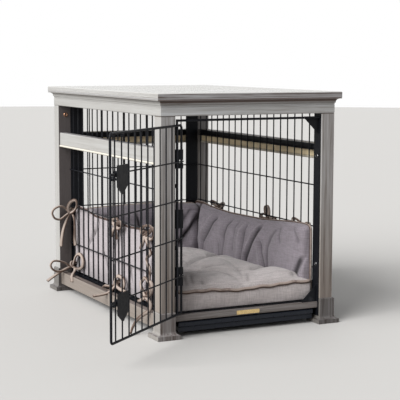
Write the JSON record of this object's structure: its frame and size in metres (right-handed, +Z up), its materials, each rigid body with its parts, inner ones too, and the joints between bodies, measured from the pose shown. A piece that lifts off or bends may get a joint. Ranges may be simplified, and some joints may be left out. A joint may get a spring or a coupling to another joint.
{
  "type": "furniture pet crate",
  "caption": "End-table pet crate: wooden table frame round a welded wire crate, with a swinging wire door, slide bolts, a slide-out tray and tied-in padded bedding.",
  "frame": {"origin": "on the floor, midway between the four feet", "axes": "+X to the right as seen from the door side, +Y from the door to the back, +Z up"},
  "size_m": [0.7482, 1.0337, 0.61],
  "materials": {
    "top_wood": "weathered grey, satin",
    "frame_wood": "weathered grey, matt",
    "black_steel": "black, satin",
    "plate_brass": "brushed",
    "bedding_fabric": "woven, grey taupe",
    "tie_fabric": "woven tape, beige"
  },
  "bodies": {
    "crate": {"table_top": "top_wood", "crown_front": "frame_wood", "crown_back": "frame_wood", "crown_left": "frame_wood", "crown_right": "frame_wood", "frieze_front": "frame_wood", "frieze_back": "frame_wood", "frieze_left": "frame_wood", "frieze_right": "frame_wood", "corner_blocks": "frame_wood", "post_front_left": "frame_wood", "post_front_right": "frame_wood", "post_back_left": "frame_wood", "post_back_right": "frame_wood", "foot_front_left": "frame_wood", "foot_front_right": "frame_wood", "foot_back_left": "frame_wood", "foot_back_right": "frame_wood", "mid_rail_left": "frame_wood", "mid_rail_right": "frame_wood", "mid_rail_back": "frame_wood", "bottom_rail_front": "frame_wood", "bottom_rail_back": "frame_wood", "bottom_rail_left": "frame_wood", "bottom_rail_right": "frame_wood", "jamb_strip_left": "black_steel", "jamb_strip_right": "black_steel", "back_upright_left": "black_steel", "back_upright_right": "black_steel", "band_left": "black_steel", "band_right": "black_steel", "band_back": "black_steel", "top_angles": "black_steel", "base_bar_left": "black_steel", "base_bar_right": "black_steel", "base_bar_back": "black_steel", "sill_strip": "black_steel", "floor_ledges": "black_steel", "tray_runners": "black_steel", "floor_grid": "black_steel", "side_grille_left": "black_steel", "side_grille_right": "black_steel", "back_grille": "black_steel", "front_upright": "black_steel", "front_top_bar": "black_steel", "corner_gussets": "black_steel", "hinge_plates": "black_steel", "name_plate_blank": "plate_brass", "seat_cushion": "bedding_fabric", "bolster_left": "bedding_fabric", "bolster_right": "bedding_fabric", "bolster_back": "bedding_fabric", "ties_left": "tie_fabric", "ties_right": "tie_fabric"},
    "door": {"door_grille": "black_steel", "latch_shield_upper": "black_steel", "latch_shield_lower": "black_steel"},
    "bolt_upper": {"bolt_upper": "black_steel"},
    "bolt_lower": {"bolt_lower": "black_steel"},
    "tray": {"tray": "black_steel"}
  },
  "joints": [
    {"name": "door_hinge", "type": "hinge", "parent": "crate", "child": "door", "pos_m": [-0.189, -0.3745, 0.3], "axis": [0, 0, 1], "range_deg": [0, 140]},
    {"name": "upper_bolt_slide", "type": "slide", "parent": "door", "child": "bolt_upper", "axis": [-0.766, -0.6428, 0], "range_m": [0, 0.012]},
    {"name": "lower_bolt_slide", "type": "slide", "parent": "door", "child": "bolt_lower", "axis": [-0.766, -0.6428, 0], "range_m": [0, 0.012]},
    {"name": "tray_slide", "type": "slide", "parent": "crate", "child": "tray", "axis": [0, -1, 0], "range_m": [0, 0.6]}
  ]
}
